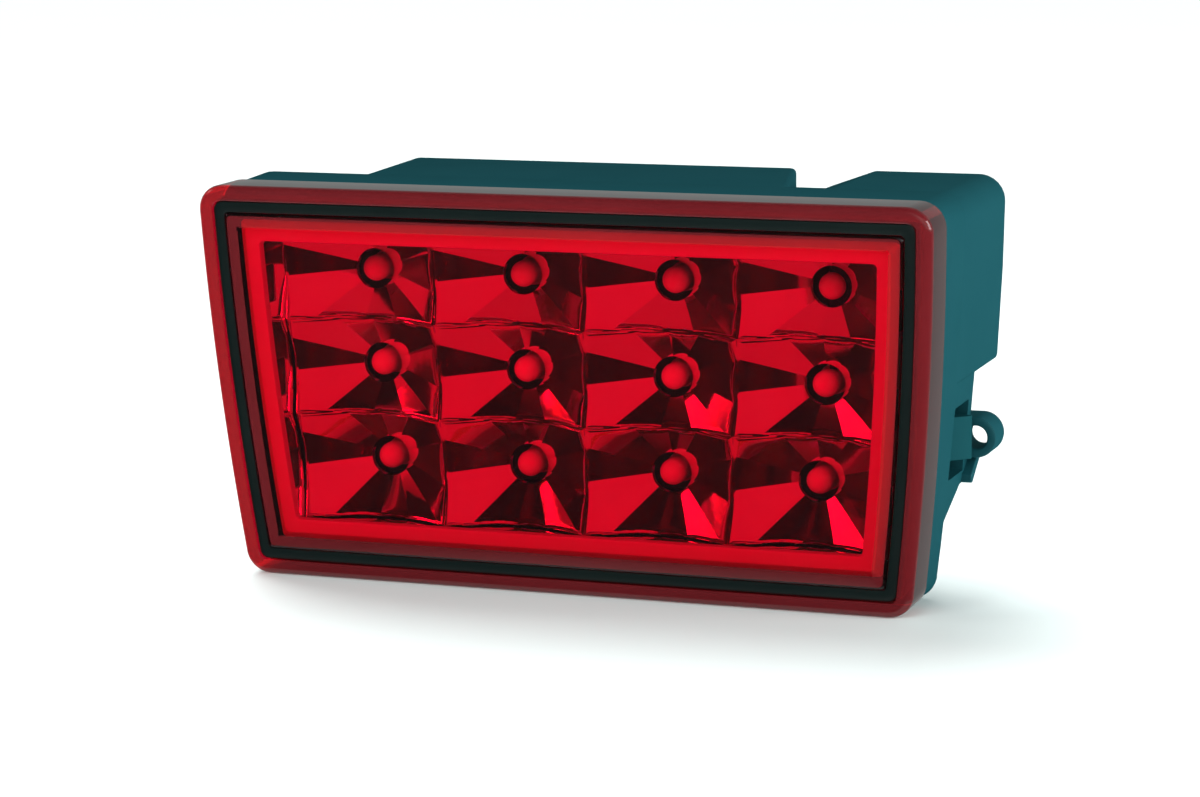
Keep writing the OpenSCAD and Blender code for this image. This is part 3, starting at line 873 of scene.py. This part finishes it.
def make_ear(side):
    """Mounting ear: plate, long boss with its flange, web and slim brace."""
    root, top = ear_root(), EAR_Z + EAR_R
    plate = block(
        "ear_plate", mirrored(ear_corners(), side), EAR_BACK - 2.5, EAR_BACK, 0.4, facing_y, segments=8,
    )
    web = block(
        "ear_web", rectangle(37.0, EAR_BACK - 0.2, -13.6, -6.4, 0.3),
        *both_ways(side, root - 0.5, root + 2.1), 0.3, facing_x,
    )
    flange = block(
        "ear_flange", rectangle(EAR_FRONT + 0.05, EAR_BACK - 0.1, top - 1.4, top - 0.02, 0.25),
        *both_ways(side, root, EAR_X), 0.1, facing_x,
    )
    bm = bmesh.new()
    boss_profile = [
        (EAR_R - 1.0, EAR_FRONT), (EAR_R - 0.35, EAR_FRONT), (EAR_R - 0.08, EAR_FRONT + 0.12),
        (EAR_R, EAR_FRONT + 0.4), (EAR_R, EAR_BACK - 0.3), (EAR_R - 0.3, EAR_BACK - 0.02),
    ]
    add_lathe(bm, side * EAR_X, EAR_Z, boss_profile, 48)
    boss = new_object("ear_boss", bm, [])
    brace = block(
        "ear_brace",
        [(EAR_BACK - 0.3, -13.9, 0.5), (EAR_BACK - 0.3, -12.2, 0.5), (34.5, -17.0, 0.5), (34.5, -19.0, 0.5)],
        *both_ways(side, root + 1.4, root + 4.6), 0.35, facing_x,
    )
    return combine(plate, [web, flange, boss, brace], "UNION")


def ear_bore(side):
    """Cutter for the bolt hole, with a chamfer at each end."""
    bm = bmesh.new()
    r = HOLE_BOLT
    add_lathe(bm, side * EAR_X, EAR_Z, [
        (r + 0.3, EAR_FRONT - 0.5), (r + 0.3, EAR_FRONT), (r, EAR_FRONT + 0.3), (r, EAR_BACK - 0.3),
        (r + 0.3, EAR_BACK), (r + 0.3, EAR_BACK + 3),
    ], 48)
    return new_object("ear_bore", bm, [])


def make_housing_body():
    """Hollow rear body with its box, hump, ears, side windows and socket hole."""
    outer = tube_object("housing_body", body_rings(0.0, TRAY_FLOOR + 0.2, BODY_BACK, 1.2))
    hump = block("hump", hump_corners(), HUMP_LOW, BOX_TOP, 1.0, facing_z)
    box = block("box", box_corners(), TRAY_BACK - 1, BOX_BACK, 1.6, facing_y, 0.2, segments=8)
    outer = combine(outer, [hump, box, make_ear(1), make_ear(-1)], "UNION")
    inner = tube_object("inner", body_rings(BODY_WALL, TRAY_FLOOR - 2, BODY_BACK - BODY_WALL, 0.6))
    low_side = rectangle(10.0, 60.0, -40.0, BOX_LOW + BODY_WALL, 0.3)
    cheeks = [block("cheek", low_side, *both_ways(side, 56.3, OUTSIDE), 0.2, facing_x) for side in (1, -1)]
    inner = combine(inner, cheeks, "DIFFERENCE")
    hollow_top = BOX_TOP - BODY_WALL
    hump_in = block("hump_in", hump_corners(BODY_WALL), HUMP_LOW + BODY_WALL, hollow_top, 0.6, facing_z)
    box_in = block("box_in", box_corners(BODY_WALL), TRAY_BACK + 1, BOX_BACK - BODY_WALL, 0.6, facing_y)
    tools = [inner, hump_in, box_in]
    for side in (1, -1):
        tools.append(block("window", WINDOW, *both_ways(side, 58.2, OUTSIDE), 0.2, facing_x))
        tools.append(ear_bore(side))
    tools.append(block("socket_hole", rectangle(-17.0, -3.0, -10.5, -1.5, 0.4), 30.0, 44.0, 0.1, facing_y))
    obj = combine(outer, tools, "DIFFERENCE")
    obj.data.materials.clear()
    obj.data.materials.append(MATERIALS["housing_black"])
    resmooth(obj, 28.0)
    return finish_piece(obj, "housing_black", "housing")


def make_tray():
    """Front tray: flush with the lens, with the tongue that locates it."""
    flare = 0.5
    profile = [
        (2.5, 11.0), (2.5, 3.5), (2.65, 3.25), (3.9, 3.25), (4.2, 3.5), (4.2, 13.0),
        (2.4, 13.2), (2.2, 14.0, 0.8), (2.2, TRAY_FLOOR, 0), (12.0, TRAY_FLOOR, 0), (12.0, TRAY_BACK, 0),
        (1.2, TRAY_BACK, 0), (0.7, TRAY_BACK - 0.05, 0), (0.25, TRAY_BACK - 0.3, 0),
        (0.05, TRAY_BACK - 0.75, 0), (0.0, TRAY_BACK - 1.2, 0),
        (flare, 11.4), (flare + 0.1, 11.15), (flare + 0.3, 11.0),
    ]
    return ring_piece("housing_tray", profile, "housing_black")


# ------------------------------------------------------------- making it all
make_lens()
make_lens_rings()
make_reflector()
make_bezel()
for led_row in range(1, ROWS + 1):
    for led_column in range(1, COLUMNS + 1):
        make_led(led_row, led_column)
make_housing_body()
make_tray()

slot_of = {part["node"]: part["material_slot"] for part in frame["record"]["subparts"]}
for name, node in frame["nodes"].items():
    node.data.materials.clear()
    node.data.materials.append(MATERIALS[slot_of[name]])

# --------------------------------------------------------- camera and studio
CAM_AZ, CAM_EL, CAM_ROLL = (math.radians(a) for a in (20.0, 10.3, -0.7))
CAM_DISTANCE = 639.0
CAM_LENS, CAM_SENSOR = 105.0, 36.0
CAM_AIM = (8.0, 0.0, 0.5)
FLOOR_R, FLOOR_SIDES = 4000, 64
SUN_FROM, SUN_POWER, SUN_SPREAD = (-0.55, 0.6, 1.0), 3.9, 50


def make_camera():
    """Camera at the lamp's front right, a little above it."""
    level = math.cos(CAM_EL)
    back = Vector((math.sin(CAM_AZ) * level, -math.cos(CAM_AZ) * level, math.sin(CAM_EL)))
    right = (-back).cross(Vector((0, 0, 1))).normalized()
    up = right.cross(-back)
    c, s = math.cos(CAM_ROLL), math.sin(CAM_ROLL)
    turn = Matrix((right * c + up * s, up * c - right * s, back)).transposed()
    data = bpy.data.cameras.new("camera")
    data.lens, data.sensor_width = CAM_LENS, CAM_SENSOR
    data.clip_start, data.clip_end = 0.01, 50
    camera = bpy.data.objects.new("camera", data)
    bpy.context.scene.collection.objects.link(camera)
    place = row(*CAM_AIM) + back * CAM_DISTANCE * MM
    camera.matrix_world = Matrix.Translation(place) @ turn.to_4x4()
    bpy.context.scene.camera = camera


def make_floor():
    """Wide pale disc just under the lens, which reflections don't show."""
    n = Nodes("floor")
    shader = n.add(
        "ShaderNodeBsdfPrincipled",
        Base_Color=n.ramp(n.noise(3.0), (0.77, 0.84, 0.83), (0.79, 0.86, 0.85)),
        Roughness=0.9,
        Specular_IOR_Level=0.1,
    )
    material = n.surface(shader)
    bm = bmesh.new()
    z = LENS_LOW.z / MM - CENTRE_Z / MM - 0.02
    disc = []
    for i in range(FLOOR_SIDES):
        a = 2 * math.pi * i / FLOOR_SIDES
        disc.append(bm.verts.new(row(FLOOR_R * math.cos(a), FLOOR_R * math.sin(a), z)))
    bm.faces.new(disc)
    floor = new_object("floor", bm, [material])
    floor.visible_glossy = False
    return floor


def make_area(name, place, size, power, glossy=True):
    """Soft lamp at a place in metres, turned to the lamp being lit."""
    data = bpy.data.lights.new(name, "AREA")
    data.shape = "RECTANGLE"
    data.size, data.size_y = size
    data.energy = power
    light = bpy.data.objects.new(name, data)
    bpy.context.scene.collection.objects.link(light)
    light.location = place
    light.rotation_mode = "QUATERNION"
    light.rotation_quaternion = Vector(place).to_track_quat("Z", "Y")
    light.visible_camera = False
    light.visible_glossy = glossy


# Brightness of each part of the surroundings, and between which components of
# the direction one part fades into the next.
BACK_BRIGHT, BAND_RIGHT, BAND_LEFT = 0.45, 1.0, 0.03
FLOOR_NEAR, FLOOR_FAR, CEILING = 0.85, 0.02, 0.01
BAND_START, FLOOR_END = (-0.25, 0.25), (-0.66, -0.52)
BAND_RISE, BAND_FALL, BACK_START = (-0.1, -0.02), (0.48, 0.58), (-0.02, 0.3)


def make_world():
    """White where the camera looks. Other rays see a pale backdrop behind and,
    in front, a band that is bright on the right, between a floor that is
    bright only near the lamp and a dark ceiling."""
    world = bpy.data.worlds.new("studio")
    world.use_nodes = True
    tree = world.node_tree
    tree.nodes.clear()
    out = tree.nodes.new("ShaderNodeOutputWorld")
    seen = tree.nodes.new("ShaderNodeBackground")
    light = tree.nodes.new("ShaderNodeBackground")
    seen.inputs["Color"].default_value = (1, 1, 1, 1)
    light.inputs["Color"].default_value = (0.9, 1.0, 0.98, 1)
    place = tree.nodes.new("ShaderNodeTexCoord")
    split = tree.nodes.new("ShaderNodeSeparateXYZ")
    tree.links.new(place.outputs["Generated"], split.inputs[0])

    def spread(axis, start, end, low, high):
        node = tree.nodes.new("ShaderNodeMapRange")
        node.interpolation_type = "SMOOTHSTEP"
        tree.links.new(split.outputs[axis], node.inputs["Value"])
        node.inputs["From Min"].default_value = start
        node.inputs["From Max"].default_value = end
        for key, value in (("To Min", low), ("To Max", high)):
            if hasattr(value, "is_output"):
                tree.links.new(value, node.inputs[key])
            else:
                node.inputs[key].default_value = value
        return node.outputs[0]

    band = spread("X", *BAND_START, BAND_LEFT, BAND_RIGHT)
    low = spread("Z", *FLOOR_END, FLOOR_NEAR, FLOOR_FAR)
    rising = spread("Z", *BAND_RISE, low, band)
    front = spread("Z", *BAND_FALL, rising, CEILING)
    strength = spread("Y", *BACK_START, front, BACK_BRIGHT)
    tree.links.new(strength, light.inputs["Strength"])
    path = tree.nodes.new("ShaderNodeLightPath")
    mix = tree.nodes.new("ShaderNodeMixShader")
    tree.links.new(path.outputs["Is Camera Ray"], mix.inputs[0])
    tree.links.new(light.outputs[0], mix.inputs[1])
    tree.links.new(seen.outputs[0], mix.inputs[2])
    tree.links.new(mix.outputs[0], out.inputs["Surface"])
    bpy.context.scene.world = world


def make_sun(receiver):
    """Broad lamp high behind on the left, for the floor's soft shadow."""
    data = bpy.data.lights.new("floor_sun", "SUN")
    data.energy = SUN_POWER
    data.angle = math.radians(SUN_SPREAD)
    light = bpy.data.objects.new("floor_sun", data)
    bpy.context.scene.collection.objects.link(light)
    light.rotation_mode = "QUATERNION"
    light.rotation_quaternion = Vector(SUN_FROM).to_track_quat("Z", "Y")
    group = bpy.data.collections.new("floor_lit")
    group.objects.link(receiver)
    light.light_linking.receiver_collection = group


make_camera()
floor_object = make_floor()
make_sun(floor_object)
make_area("right_softbox", (0.9, -0.1, 0.3), (0.6, 0.45), 7.0)
make_area("left_softbox", (-0.85, -0.34, 0.46), (0.3, 0.3), 1.1)
make_area("front_fill", (-0.2, -1.0, 0.5), (0.8, 0.6), 9.5, glossy=False)
make_world()
scene = bpy.context.scene
scene.view_settings.view_transform = "Standard"
scene.cycles.max_bounces = 24
scene.cycles.transparent_max_bounces = 24
scene.cycles.glossy_bounces = 8
